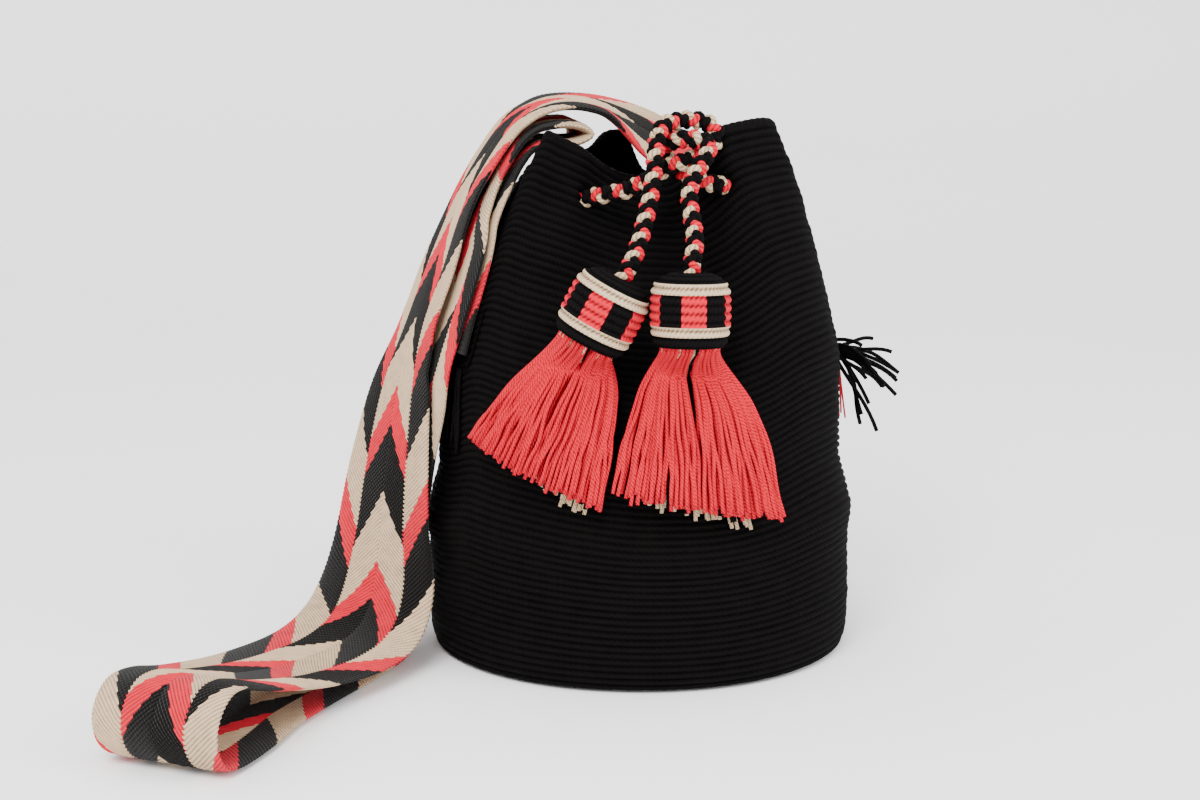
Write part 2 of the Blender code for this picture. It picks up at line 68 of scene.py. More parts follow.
# ---- drawstring ----
# One round braid of four cotton strands.  It runs inside the mouth, comes out of two eyelets at
# the front, is knotted, and hangs as two tails.  Two strands turn one way and two the other.
BLACK = "0b090a"
PINK = "d0182e"
BEIGE = "c8b090"


def catmull(before, here, after, beyond, t):
    """A point between two values on a smooth curve through four."""
    return 0.5 * (2 * here + (after - before) * t + (2 * before - 5 * here + 4 * after - beyond) * t ** 2
                  + (3 * here - before - 3 * after + beyond) * t ** 3)


def smooth_curve(points, count):
    """Evenly spaced points on a smooth curve through the given points, of any dimension."""
    knots = np.asarray(points, dtype=float)
    knots = np.vstack([2 * knots[0] - knots[1], knots, 2 * knots[-1] - knots[-2]])
    fine = [catmull(*four, t) for four in zip(knots[:-3], knots[1:-2], knots[2:-1], knots[3:])
            for t in np.linspace(0, 1, 16, endpoint=False)]
    fine.append(knots[-2])
    fine = np.array(fine)
    along = path_length(fine[:, :3])
    want = np.linspace(0, along[-1], count)
    return np.stack([np.interp(want, along, column) for column in fine.T], axis=1)


def path_length(points):
    """The distance along a line of points, at each of them."""
    return np.r_[0, np.cumsum(np.linalg.norm(np.diff(points, axis=0), axis=1))]


def linear(hex_colour):
    """A Blender colour from an sRGB hex value."""
    channels = [int(hex_colour[k:k + 2], 16) / 255 for k in (0, 2, 4)]
    return (*[c / 12.92 if c <= 0.04045 else ((c + 0.055) / 1.055) ** 2.4 for c in channels], 1.0)


def add_node(tree, kind, settings=(), links=()):
    """A node with its properties or input values set and its inputs linked."""
    node = tree.nodes.new(kind)
    for key, value in dict(settings).items():
        if isinstance(key, str) and hasattr(node, key):
            setattr(node, key, value)
        else:
            node.inputs[key].default_value = value
    for key, source in dict(links).items():
        tree.links.new(source, node.inputs[key])
    return node


def start_material(name, roughness, sheen):
    """A new material with its tree and its surface shader, rough and slightly hairy like cotton."""
    material = bpy.data.materials.new(name)
    material.use_nodes = True
    tree = material.node_tree
    surface = tree.nodes["Principled BSDF"]
    surface.inputs["Roughness"].default_value = roughness
    surface.inputs["Specular IOR Level"].default_value = 0.04
    surface.inputs["Sheen Weight"].default_value = sheen
    surface.inputs["Sheen Roughness"].default_value = 0.6
    return material, tree, surface


def twisted_yarn(name, lit, shade, plies, pitch, sheen):
    """Mercerised cotton yarn: plies that wind round it show as slanted lines, with painted shade in the
    grooves between them.
    """
    material, tree, surface = start_material(name, 0.72, sheen)
    place = add_node(tree, "ShaderNodeUVMap", {"uv_map": "yarn"})
    split = add_node(tree, "ShaderNodeSeparateXYZ", {}, {0: place.outputs[0]})
    round_it = add_node(tree, "ShaderNodeMath", {"operation": "MULTIPLY", 1: float(plies)},
                        {0: split.outputs[0]})
    winding = add_node(tree, "ShaderNodeMath", {"operation": "MULTIPLY_ADD", 1: plies / pitch},
                       {0: split.outputs[1], 2: round_it.outputs[0]})
    ply = add_node(tree, "ShaderNodeMath", {"operation": "PINGPONG", 1: 0.5},
                   {0: winding.outputs[0]})
    hairs = add_node(tree, "ShaderNodeTexNoise", {"Scale": 900.0, "Detail": 3.0})
    tone = add_node(tree, "ShaderNodeTexNoise", {"Scale": 70.0, "Detail": 2.0})
    mixed = add_node(tree, "ShaderNodeMath", {"operation": "MULTIPLY_ADD", 1: 0.55},
                     {0: tone.outputs[0], 2: ply.outputs[0]})
    # Painted shade: the ramp runs from the shade colour in the grooves between plies to the lit colour
    # on their crests, with random tone noise mixed in.
    ramp = add_node(tree, "ShaderNodeValToRGB", {}, {0: mixed.outputs[0]})
    ramp.color_ramp.elements[0].position = 0.22
    ramp.color_ramp.elements[0].color = linear(shade)
    ramp.color_ramp.elements[1].position = 0.62
    ramp.color_ramp.elements[1].color = linear(lit)
    tree.links.new(ramp.outputs[0], surface.inputs["Base Color"])
    height = add_node(tree, "ShaderNodeMath", {"operation": "MULTIPLY_ADD", 1: 0.3},
                      {0: hairs.outputs[0], 2: ply.outputs[0]})
    bump = add_node(tree, "ShaderNodeBump", {"Strength": 0.8, "Distance": 0.0006},
                    {"Height": height.outputs[0]})
    tree.links.new(bump.outputs[0], surface.inputs["Normal"])
    return material


def frames_along(points):
    """Two directions across a line at each of its points, turning as little as possible."""
    ahead = np.gradient(points, axis=0)
    ahead /= np.linalg.norm(ahead, axis=1)[:, None]
    side = np.cross(ahead[0], (0.31, 0.17, 0.93))
    across = []
    for direction in ahead:
        side = side - direction * np.dot(side, direction)
        side /= np.linalg.norm(side)
        across.append(side)
    across = np.array(across)
    return across, np.cross(ahead, across)


def add_mesh(name, points, faces, materials, slots=None, uv=None, layer="yarn"):
    """A smooth mesh object from points in millimetres, with equal-sided faces and a UV layer."""
    mesh = bpy.data.meshes.new(name)
    mesh.from_pydata(np.asarray(points) * MM, [], np.asarray(faces).tolist())
    for material in materials:
        mesh.materials.append(material)
    if slots is not None:
        mesh.polygons.foreach_set("material_index", np.asarray(slots, dtype=np.int32))
    if uv is not None:
        mesh.uv_layers.new(name=layer).data.foreach_set("uv", np.asarray(uv, dtype=np.float32).ravel())
    mesh.shade_smooth()
    item = bpy.data.objects.new(name, mesh)
    bpy.context.scene.collection.objects.link(item)
    return item


def build_yarns(name, strands, sides, materials):
    """Many round yarns in one mesh.  A strand is its points, its radius and its material slot."""
    points, faces, slots, uv, base = [], [], [], [], 0
    turn = np.linspace(0, 2 * math.pi, sides, endpoint=False)
    for line, radius, slot in strands:
        count = len(line)
        across, up = frames_along(line)
        reach = np.full(count, radius) if np.isscalar(radius) else np.asarray(radius)
        reach = np.r_[0.001, reach, 0.001]
        line, across, up = (np.vstack([part[:1], part, part[-1:]]) for part in (line, across, up))
        ring = (line[:, None] + reach[:, None, None] * (across[:, None] * np.cos(turn)[:, None]
                                                       + up[:, None] * np.sin(turn)[:, None]))
        points.append(ring.reshape(-1, 3))
        row, col = np.meshgrid(np.arange(count + 1), np.arange(sides), indexing="ij")
        a = base + row * sides + col
        b = base + row * sides + (col + 1) % sides
        faces.append(np.stack([a, b, b + sides, a + sides], axis=-1).reshape(-1, 4))
        along = path_length(line)
        start, end = along[row], along[row + 1]
        left, right = col / sides, (col + 1) / sides
        uv.append(np.stack([left, start, right, start, right, end, left, end], axis=-1).reshape(-1, 8))
        slots.append(np.full(row.size, slot))
        base += (count + 2) * sides
    return add_mesh(name, np.vstack(points), np.vstack(faces), materials, np.concatenate(slots),
                    np.vstack(uv))


# Each yarn has its lit colour and a darker colour that is painted shade between its plies.
pink_yarn = twisted_yarn("pink_cotton_yarn", PINK, "7c0612", 3, 6.0, 0.02)
beige_yarn = twisted_yarn("beige_cotton_yarn", BEIGE, "80603c", 3, 6.0, 0.05)
black_yarn = twisted_yarn("black_cotton_yarn", BLACK, "030303", 3, 6.0, 0.0)

BRAID_PERIOD = 12.4
STRAND_RADIUS = 2.1
BRAID_RADIUS = 2.35
BRAID_WEAVE = 0.95
LEFT_ROUTE = [(-39.5, -32.1, 256), (-32.5, -39.7, 259), (-26, -45, 260.5), (-17, -49.5, 263),
              (-10, -54, 267), (-4, -60, 272), (1, -65, 276), (8, -68, 278.8), (15, -66.5, 281),
              (22.5, -62, 284), (28, -58.5, 288), (29.5, -57.5, 294), (25, -57, 298.8),
              (16, -58, 300.8), (8, -59.5, 300.3), (0, -63.5, 298.5), (-5, -70, 293),
              (-7.5, -76, 285), (-9.5, -80, 274), (-12.5, -85, 262), (-17, -93, 250),
              (-22, -101, 239), (-27.8, -108.5, 229.5), (-33.2, -109.6, 221.4)]
RIGHT_ROUTE = [(37.6, -52, 264.6), (30.2, -60.1, 265.8), (25, -62, 267.3), (18, -60, 269),
               (11, -56.5, 272), (6, -53, 277), (1.5, -53.5, 283), (2, -58, 288), (7, -65.5, 290.5),
               (14, -71.5, 291.5), (19.5, -75.5, 290), (20, -80, 285), (15.5, -84, 279.5),
               (11, -86.5, 273), (8, -89, 266), (7, -94, 258), (7, -101.5, 249), (6, -110, 239.5),
               (3, -117, 231), (2.1, -118.9, 223.3)]
MOUTH_ROUTE = [(38.5, -51, 264.5), (42.8, -46.2, 263.7), (50, -39, 259.5), (57, -32, 255),
               (66, -21, 250.5), (71, -4, 246), (68, 14, 242), (54, 27, 240), (35, 31, 240),
               (17, 45, 243), (-6, 53, 246), (-26, 43, 247), (-46, 34, 247), (-58, 18, 247),
               (-62, -1, 247), (-59, -14, 247.5), (-51.5, -19.5, 250), (-45.3, -26, 253.2),
               (-40.2, -31.4, 255.6)]


def braid(name, line, first, last, sides):
    """Part of a cord, from one share of its length to another, as four braided strands."""
    across, up = frames_along(line)
    along = path_length(line)
    keep = (along >= first * along[-1]) & (along <= last * along[-1])
    weave = BRAID_WEAVE * np.cos(4 * math.pi * along / BRAID_PERIOD)
    strands = []
    for way, phase, slot in ((1, 0.0, 0), (1, math.pi, 2), (-1, 0.0, 1), (-1, math.pi, 2)):
        turn = phase - way * 2 * math.pi * along / BRAID_PERIOD
        reach = BRAID_RADIUS + way * weave
        strand = line + reach[:, None] * (across * np.cos(turn)[:, None] + up * np.sin(turn)[:, None])
        strands.append((strand[keep], STRAND_RADIUS, slot))
    item = build_yarns(name, strands, sides, [pink_yarn, beige_yarn, black_yarn])
    return item, line[keep]


joints = {joint["name"]: joint for joint in frame["joints"]}
for side, route in (("left", LEFT_ROUTE), ("right", RIGHT_ROUTE)):
    rough = path_length(np.array(route, dtype=float))[-1]
    line = smooth_curve(route, int(rough / 0.8))
    pivot = np.array(joints["tassel_" + side + "_swing"]["pos_m"]) / MM
    along = path_length(line)
    share = along[np.linalg.norm(line - pivot, axis=1).argmin()] / along[-1]
    for part, first, last in (("lead", 0.0, share), ("tail", share, 1.0)):
        cord, centre = braid("drawstring_" + part + "_" + side + "_braid", line, first, last, 12)
        if part == "lead":
            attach(cord, "bag")
        else:
            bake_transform(cord)
        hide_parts("drawstring_" + part + "_" + side)
mouth_line = smooth_curve(MOUTH_ROUTE, 380)
mouth_cord, centre = braid("drawstring_mouth_run_braid", mouth_line, 0.0, 1.0, 10)
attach(mouth_cord, "bag")
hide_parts("drawstring_mouth_run")

# ---- bag wall ----
# One piece of tight single crochet in black cotton, worked in a spiral from the base's centre.
# Each round is a raised ridge of small slanted stitches, and the cord gathers the rim.
BODY_HEIGHT = 300.0
WALL = 3.5
CINCH_START = 110.0
SIDE_PROFILE = [(0, 112), (3, 117), (10, 119.5), (22, 120), (65, 119.5), (84, 121.5), (98, 118),
                (115, 113.8), (150, 113.5), (174, 114), (193, 111), (220, 107), (250, 104), (300, 102)]
RIM = [(-28, 66, -38, 298), (-14, 73, -20, 285), (2, 78, 2, 271), (18, 76, 25, 264),
       (34, 60, 34, 263), (48, 42, 26, 262), (62, 26, 33, 262), (76, 12, 48, 265),
       (88, 3, 58, 285), (98, -9, 57, 286), (111, -21, 43, 278), (123, -33, 45, 272),
       (136, -48, 45, 270), (155, -59, 25, 270), (178, -63, -1, 271), (193, -62, -15, 275),
       (206, -58, -30, 292), (218, -47, -28, 288), (230, -35, -25, 282), (244, -22, -10, 273),
       (256, -7, 5, 266), (267, 6, 8, 264), (280, 15, -7, 265), (294, 20, -30, 275),
       (310, 30, -50, 293), (321, 48, -48, 298)]
EYELETS = {"left": (236.0, 0.925), "right": (304.0, 0.925)}
profile_z, profile_r = np.array(SIDE_PROFILE, dtype=float).T


def ease(value):
    """A smooth step from 0 to 1."""
    value = np.clip(value, 0.0, 1.0)
    return value * value * (3 - 2 * value)


def rim_at(angle):
    """The rim point above a base angle in degrees."""
    angles = [row[0] for row in RIM]
    angle = (angle - angles[0]) % 360 + angles[0]
    i = max(k for k, start in enumerate(angles) if start <= angle)
    count = len(RIM)

    def knot(k):
        return np.array(RIM[k % count], dtype=float) + np.array([360.0 * (k // count), 0, 0, 0])

    before, here, after, beyond = knot(i - 1), knot(i), knot(i + 1), knot(i + 2)
    t = (angle - here[0]) / (after[0] - here[0])
    step = after[0] - here[0]
    leave = (after - before) / (after[0] - before[0]) * step
    arrive = (beyond - here) / (beyond[0] - here[0]) * step
    point = ((2 * t ** 3 - 3 * t ** 2 + 1) * here + (t ** 3 - 2 * t ** 2 + t) * leave
             + (3 * t ** 2 - 2 * t ** 3) * after + (t ** 3 - t ** 2) * arrive)
    return point[1:]


def wall_grid(angles, shares):
    """The outer surface at base angles in degrees and shares of the local height."""
    rims = np.array([rim_at(a) for a in angles])
    turn = np.radians(angles)
    radius = np.interp(shares * BODY_HEIGHT, profile_z, profile_r)[:, None]
    rise = np.maximum(0.0, (shares * BODY_HEIGHT - CINCH_START) / (BODY_HEIGHT - CINCH_START))
    front = np.maximum(0.0, np.cos(turn - math.radians(262)))
    gather = rise[:, None] ** (3.5 - 1.6 * front[None] ** 2)
    x = radius * np.cos(turn) * (1 - gather) + rims[:, 0] * gather
    y = radius * np.sin(turn) * (1 - gather) + rims[:, 1] * gather
    return np.stack([x, y, shares[:, None] * rims[:, 2]], axis=-1)


OUTLINE_ANGLES = np.arange(0, 360, 3.0)
RIM_HEIGHTS = np.array([rim_at(a)[2] for a in OUTLINE_ANGLES])
OUTLINE_ROWS = 300
OUTLINES = wall_grid(OUTLINE_ANGLES, np.linspace(0, 1, OUTLINE_ROWS + 1))


def wall_reach(direction, z):
    """The distance from the axis to the outer surface, in a direction in degrees, at height z."""
    rows = np.clip(z / RIM_HEIGHTS, 0, 1) * OUTLINE_ROWS
    low = np.minimum(rows.astype(int), OUTLINE_ROWS - 1)
    part = (rows - low)[:, None]
    columns = np.arange(len(OUTLINE_ANGLES))
    outline = OUTLINES[low, columns] * (1 - part) + OUTLINES[low + 1, columns] * part
    angles = np.degrees(np.arctan2(outline[:, 1], outline[:, 0]))
    order = np.argsort(angles)
    reach = np.hypot(outline[:, 0], outline[:, 1])
    turned = (direction + 180) % 360 - 180
    return float(np.interp(turned, angles[order], reach[order], period=360))


def on_wall(direction, z, clear):
    """A point a set distance outside the surface, in a direction from the axis."""
    reach = wall_reach(direction, z) + clear
    turn = math.radians(direction)
    return np.array([reach * math.cos(turn), reach * math.sin(turn), z])


def crochet(name, colour, shade, stitch, sheen=0.0):
    """Single crochet in matt cotton: short slanted yarns side by side, with painted shade between the
    stitches and between the rounds.
    """
    material, tree, surface = start_material(name, 0.9, sheen)
    place = add_node(tree, "ShaderNodeUVMap", {"uv_map": "stitches"})
    split = add_node(tree, "ShaderNodeSeparateXYZ", {}, {0: place.outputs[0]})
    rise = add_node(tree, "ShaderNodeMath", {"operation": "FRACT"}, {0: split.outputs[1]})
    lean = add_node(tree, "ShaderNodeMath", {"operation": "MULTIPLY_ADD", 1: 0.9},
                    {0: rise.outputs[0], 2: split.outputs[0]})
    stroke = add_node(tree, "ShaderNodeMath", {"operation": "PINGPONG", 1: 0.5}, {0: lean.outputs[0]})
    row = add_node(tree, "ShaderNodeMath", {"operation": "PINGPONG", 1: 0.5}, {0: split.outputs[1]})
    leg = add_node(tree, "ShaderNodeMath", {"operation": "MULTIPLY_ADD", 1: stitch},
                   {0: stroke.outputs[0], 2: row.outputs[0]})
    hairs = add_node(tree, "ShaderNodeTexNoise", {"Scale": 700.0, "Detail": 3.0})
    wear = add_node(tree, "ShaderNodeTexNoise", {"Scale": 22.0, "Detail": 3.0})
    mixed = add_node(tree, "ShaderNodeMath", {"operation": "MULTIPLY_ADD", 1: 0.4},
                     {0: wear.outputs[0], 2: leg.outputs[0]})
    # Painted shade: the ramp runs from the shade colour in the grooves between stitches and rounds to
    # the colour on their crests; the wear noise varies it at random.
    ramp = add_node(tree, "ShaderNodeValToRGB", {}, {0: mixed.outputs[0]})
    ramp.color_ramp.elements[0].position = 0.25
    ramp.color_ramp.elements[0].color = linear(shade)
    ramp.color_ramp.elements[1].position = 0.7
    ramp.color_ramp.elements[1].color = linear(colour)
    tree.links.new(ramp.outputs[0], surface.inputs["Base Color"])
    height = add_node(tree, "ShaderNodeMath", {"operation": "MULTIPLY_ADD", 1: 0.35},
                      {0: hairs.outputs[0], 2: leg.outputs[0]})
    bump = add_node(tree, "ShaderNodeBump", {"Strength": 0.7, "Distance": 0.0009},
                    {"Height": height.outputs[0]})
    tree.links.new(bump.outputs[0], surface.inputs["Normal"])
    return material


def grid_mesh(name, grid, u, v, materials, closed=True, flip=False):
    """A mesh from rows of points; the columns close on themselves where closed is set."""
    rows, columns = grid.shape[:2]
    row, col = np.meshgrid(np.arange(rows - 1), np.arange(columns if closed else columns - 1),
                           indexing="ij")
    a = row * columns + col
    b = row * columns + (col + 1) % columns
    quads = [a, b, b + columns, a + columns]
    spots = [u[col], v[row], u[col + 1], v[row], u[col + 1], v[row + 1], u[col], v[row + 1]]
    if flip:
        quads = [a, a + columns, b + columns, b]
        spots = [u[col], v[row], u[col], v[row + 1], u[col + 1], v[row + 1], u[col + 1], v[row]]
    return add_mesh(name, grid.reshape(-1, 3), np.stack(quads, axis=-1).reshape(-1, 4), materials,
                    None, np.stack(spots, axis=-1).reshape(-1, 8), "stitches")


def grid_normals(grid):
    """Outward directions at each point of a closed grid of rows."""
    around = np.roll(grid, -1, axis=1) - np.roll(grid, 1, axis=1)
    up = np.gradient(grid, axis=0)
    normal = np.cross(around, up)
    return normal / np.maximum(np.linalg.norm(normal, axis=-1), 1e-9)[..., None]


# The second colour is painted shade for the grooves between the stitches.
black_crochet = crochet("black_cotton_crochet", "0b0909", "020202", 0.35)

ROUNDS = 72
ROWS_PER_ROUND = 4
COLUMNS = 288
STITCHES_AROUND = 216
RIDGE = 1.15
EYELET_DIMPLE = 3.0
DIMPLE_REACH = 9.0
angles = np.linspace(0, 360, COLUMNS, endpoint=False)
shares = np.linspace(0.004, 1.0, ROUNDS * ROWS_PER_ROUND + 1)
wall = wall_grid(angles, shares)
outward = grid_normals(wall)
phase = np.arange(len(shares)) / ROWS_PER_ROUND
rounds = np.minimum(phase.astype(int), ROUNDS - 1)
uneven = rng.normal(1.0, 0.12, (ROUNDS, 1)) + 0.18 * np.sin(
    np.radians(angles)[None] * rng.integers(3, 9, (ROUNDS, 1)) + rng.uniform(0, 6.28, (ROUNDS, 1)))
ridge = RIDGE * (1 - np.abs(2 * (phase % 1.0) - 1) ** 2.4)[:, None] * uneven[rounds]
wander = 0.35 * np.sin(np.radians(angles) * 5 + 1.3)[None] * np.sin(shares * 41)[:, None]
wall = wall + outward * (ridge + wander - 0.4)[..., None]
for angle, share in EYELETS.values():
    hole = wall_grid(np.array([angle]), np.array([share]))[0, 0]
    away = np.linalg.norm(wall - hole, axis=-1)
    wall = wall - outward * (EYELET_DIMPLE * ease((DIMPLE_REACH - away) / 6.0))[..., None]
stitch_u = np.linspace(0, STITCHES_AROUND, COLUMNS + 1)
wall_piece = grid_mesh("bag_wall_crochet", wall, stitch_u, phase, [black_crochet])
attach(wall_piece, "bag")
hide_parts("bag_body")

BASE_ROUNDS = 26
BASE_COLUMNS = 180
base_phase = np.arange(BASE_ROUNDS * 3 + 1) / 3
base_radius = np.linspace(1.0, 112.6, len(base_phase))
base_turn = np.radians(np.linspace(0, 360, BASE_COLUMNS, endpoint=False))
base_lift = 0.15 + 0.75 * np.abs(2 * (base_phase % 1.0) - 1) ** 1.6
base_grid = np.stack([base_radius[:, None] * np.cos(base_turn), base_radius[:, None] * np.sin(base_turn),
                      np.repeat(base_lift[:, None], BASE_COLUMNS, axis=1)], axis=-1)
base_piece = grid_mesh("bag_base_crochet", base_grid,
                       np.linspace(0, STITCHES_AROUND / 2, BASE_COLUMNS + 1), base_phase,
                       [black_crochet], flip=True)
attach(base_piece, "bag")
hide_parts("bag_body")

INNER_ROWS = 150
INNER_COLUMNS = 144
inner_shares = np.linspace(0.02, 1.0, INNER_ROWS)
inner_angles = np.linspace(0, 360, INNER_COLUMNS, endpoint=False)
inner = wall_grid(inner_angles, inner_shares)
inner_ridge = 0.5 * np.abs(np.sin(np.arange(INNER_ROWS) * math.pi / 2))[:, None]
inner = inner - grid_normals(inner) * (WALL - 0.4 - inner_ridge)[..., None]
floor_rings = np.stack([inner[0] * np.array([s, s, 1.0]) for s in (0.02, 0.35, 0.7)])
inner = np.vstack([floor_rings, inner])
inner_piece = grid_mesh("bag_inside_crochet", inner,
                        np.linspace(0, STITCHES_AROUND, INNER_COLUMNS + 1),
                        np.arange(len(inner)) / 2, [black_crochet], flip=True)
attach(inner_piece, "bag")
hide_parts("bag_body")

rim_line = wall_grid(np.linspace(0, 360, 720, endpoint=False), np.array([0.997]))[0]
rim_out = grid_normals(np.stack([rim_line, rim_line + (0, 0, 1)]))[0]
rim_line = rim_line - rim_out * (WALL / 2)
rim_line = np.vstack([rim_line, rim_line[:2]])
rim_radius = 2.1 + 0.35 * np.abs(np.sin(path_length(rim_line) * math.pi / 4.2))
rim_piece = build_yarns("bag_rim_edging", [(rim_line, rim_radius, 0)], 12, [black_yarn])
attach(rim_piece, "bag")
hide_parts("bag_body")

# ---- shoulder strap ----
# One band of dense ply-split weave, 72 mm wide: four rows of rope-like ridges that slant in turn
# one way and the other, in beige, pink and black points.  It is sewn to the wall at both ends.
STRAP_WIDTH = 72.0
STRAP_THICK = 4.5
STRAP_LAYER = 5.4
SHOULDER_HEIGHT = 262.0
HUG_TOP = 250.0
STRAP_STATIONS = 144
STRAP_ROUTE = [
    # the right sewn end, bottom to top, then over the rim
    (110, 40, 172, 0.35, -1, 0, 1, 1), (109, 39, 186, 0.35, -1, 0, 1, 1),
    (102, 42, 212, 0.38, -1, 0, 1, 1), (92, 45, 234, 0.4, -1, 0, 1, 1),
    (83, 45, 254, 0.3, -1, 0.02, 1, 0), (77, 43, 268, 0.16, -1, 0.05, 1, 0),
    (68, 39, 278, 0.0, -1, 0.04, 0, 0),
    # across the mouth, its front edge drooping, and up into the arch
    (52, 34, 281, -0.13, -1, -0.1, 0, 0), (33, 31, 280, -0.3, -1, -0.28, 0, 0),
    (15, 31, 285, -0.38, -1, -0.3, 0, 0), (-2, 30, 295, -0.3, -1, -0.15, 0, 0),
    (-21, 28, 304, -0.16, -1, -0.05, 0, 0), (-44, 24, 306, -0.11, -1, -0.05, 0, 0),
    # down the left side, outside the other two layers
    (-63, 21, 299.5, 0, -1, -0.01, 0, 0), (-74, 20, 290, 0, -1, 0, 0, 0),
    (-80, 19, 281.5, 0, -1, 0, 0, 0), (-87.5, 17, 271, 0, -1, 0, 0, 0),
    (-99, 14, 251, 0.01, -1, 0, 0, 0), (-113, 12, 216, 0.1, -1, 0, 3, 0),
    (-126, 10, 182, 0.13, -1, 0, 3, 0), (-136, 5, 150, 0.36, -1, 0.04, 3, 0),
    (-144, -3, 109, 0.6, -1, 0.07, 0, 0), (-150, -12, 68, 0.85, -1, 0.03, 0, 0),
    (-156, -27, 40, 1, -0.65, -0.03, 0, 0), (-166, -44, 25, 1, -0.45, -0.12, 0, 0),
    # out over the floor, on top of the run that comes back
    (-183, -64, 19, 1, -0.48, -0.15, 0, 0), (-204, -87, 19, 1, -0.55, -0.15, 0, 0),
    (-224, -113, 23, 1, -0.62, -0.12, 0, 0), (-247, -150, 33, 1, -0.68, -0.05, 0, 0),
    (-263, -176, 41.5, 1, -0.71, 0, 0, 0),
    # the loop at the far end
    (-273, -191, 38.5, 1, -0.71, 0, 0, 0), (-278, -198, 22.5, 1, -0.71, 0, 0, 0),
    (-273, -191, 7, 1, -0.71, 0, 0, 0),
    # back along the floor and up beside the bag
    (-263, -175, 3.2, 1, -0.71, 0, 0, 0), (-250, -152, 3.2, 1, -0.71, 0, 0, 0),
    (-234, -118, 3.2, 1, -0.71, 0, 0, 0), (-211, -82, 3.2, 1, -0.71, 0, 0, 0),
    (-184, -42, 3.4, 1, -0.72, 0, 0, 0), (-164, -14, 7, 0.9, -0.8, 0, 0, 0),
    (-148, 4, 22, 0.65, -0.9, 0, 0, 0), (-137, 12, 46, 0.35, -1, 0, 0, 0),
    (-128, 10, 80, 0.12, -1, 0, 2, 0), (-124, 5, 115, -0.03, -1, 0, 2, 0.5),
    (-122, -5, 150, -0.1, -1, 0, 2, 1), (-119, -12, 182, -0.12, -1, 0, 2, 1),
    (-109, -12, 216, -0.1, -1, 0, 2, 1), (-96.5, 1, 240, -0.02, -1, 0, 2, 0.7),
    (-85, 13, 262, 0, -1, 0, 0, 0), (-79.5, 15, 271.5, 0, -1, 0, 0, 0),
    # over the rim, folded back under itself, and down to the left sewn end
    (-73.5, 17, 281, 0, -1, 0, 0, 0), (-66, 19.5, 289, 0, -1, 0, 0, 0),
    (-57, 21, 293.5, 0, -1, 0, 0, 0), (-47, 21.5, 295.5, -0.02, -1, 0, 0, 0),
    (-35, 22, 295, -0.03, -1, 0, 0, 0), (-28, 22, 290.3, -0.03, -1, 0, 0, 0),
    (-35, 21.5, 285.5, -0.03, -1, 0, 0, 0), (-46, 21, 285.5, -0.02, -1, 0, 0, 0),
    (-57, 20, 284.5, 0, -1, 0, 0, 0), (-65, 18, 280.5, 0, -1, 0, 0, 0),
    (-69.5, 16, 275, 0, -1, 0, 0, 0), (-73.5, 14, 269, 0, -1, 0, 0, 0),
    (-78, 12, 261, 0, -1, 0, 0, 0), (-90, 0, 240, -0.03, -1, 0, 1, 0.7),
    (-104, -10, 214, -0.1, -1, 0, 1, 1), (-112, -13, 186, -0.12, -1, 0, 1, 1),
    (-113, -13, 174, -0.12, -1, 0, 1, 1),
]


def strap_rows():
    """The middle surface of the band: five points across it at each station."""
    route = smooth_curve(STRAP_ROUTE, STRAP_STATIONS)
    middle = route[:, :3]
    rows = []
    for k, station in enumerate(route):
        ahead = middle[min(k + 1, len(middle) - 1)] - middle[max(k - 1, 0)]
        ahead /= np.linalg.norm(ahead)
        across = station[3:6] - ahead * np.dot(station[3:6], ahead)
        across /= np.linalg.norm(across)
        layer = max(station[6], 0.0)
        hug = min(max(station[7], 0.0), 1.0) * ease((HUG_TOP - station[2]) / 30)
        row = []
        for share in (-0.5, -0.25, 0.0, 0.25, 0.5):
            point = station[:3] + across * share * STRAP_WIDTH
            if layer > 0.05 and point[2] < SHOULDER_HEIGHT:
                direction = math.degrees(math.atan2(point[1], point[0]))
                clear = STRAP_THICK / 2 + 1.3 + (layer - 1) * STRAP_LAYER
                reach = math.hypot(point[0], point[1])
                least = wall_reach(direction, point[2]) + clear
                point[:2] *= (max(reach, least) * (1 - hug) + least * hug) / reach
            row.append(point)
        rows.append(row)
    return np.array(rows)


band = strap_rows()
strap_length = path_length(band[:, 2])[-1]


def band_point(across, along):
    """Points of the band's middle surface at distances across it and along it."""
    padded = np.concatenate([2 * band[:1] - band[1:2], band, 2 * band[-1:] - band[-2:-1]])
    padded = np.concatenate([2 * padded[:, :1] - padded[:, 1:2], padded,
                             2 * padded[:, -1:] - padded[:, -2:-1]], axis=1)
    place = np.interp(along, path_length(band[:, 2]), np.arange(STRAP_STATIONS))
    row = np.minimum(place.astype(int), STRAP_STATIONS - 2)
    t = (place - row)[..., None]
    spot = (across / STRAP_WIDTH + 0.5) * 4
    col = np.clip(spot.astype(int), 0, 3)
    s = (spot - col)[..., None]
    lines = [catmull(*[padded[row + r, col + c] for r in range(4)], t) for c in range(4)]
    return catmull(*lines, s)


RIDGE_PITCH = 2.5
PATTERN_PERIOD = 100.0
PATTERN_START = 385.0
QUARTER = STRAP_WIDTH / 4
POINT_SLANT = 31.0
EDGE_LEAD = 49.0


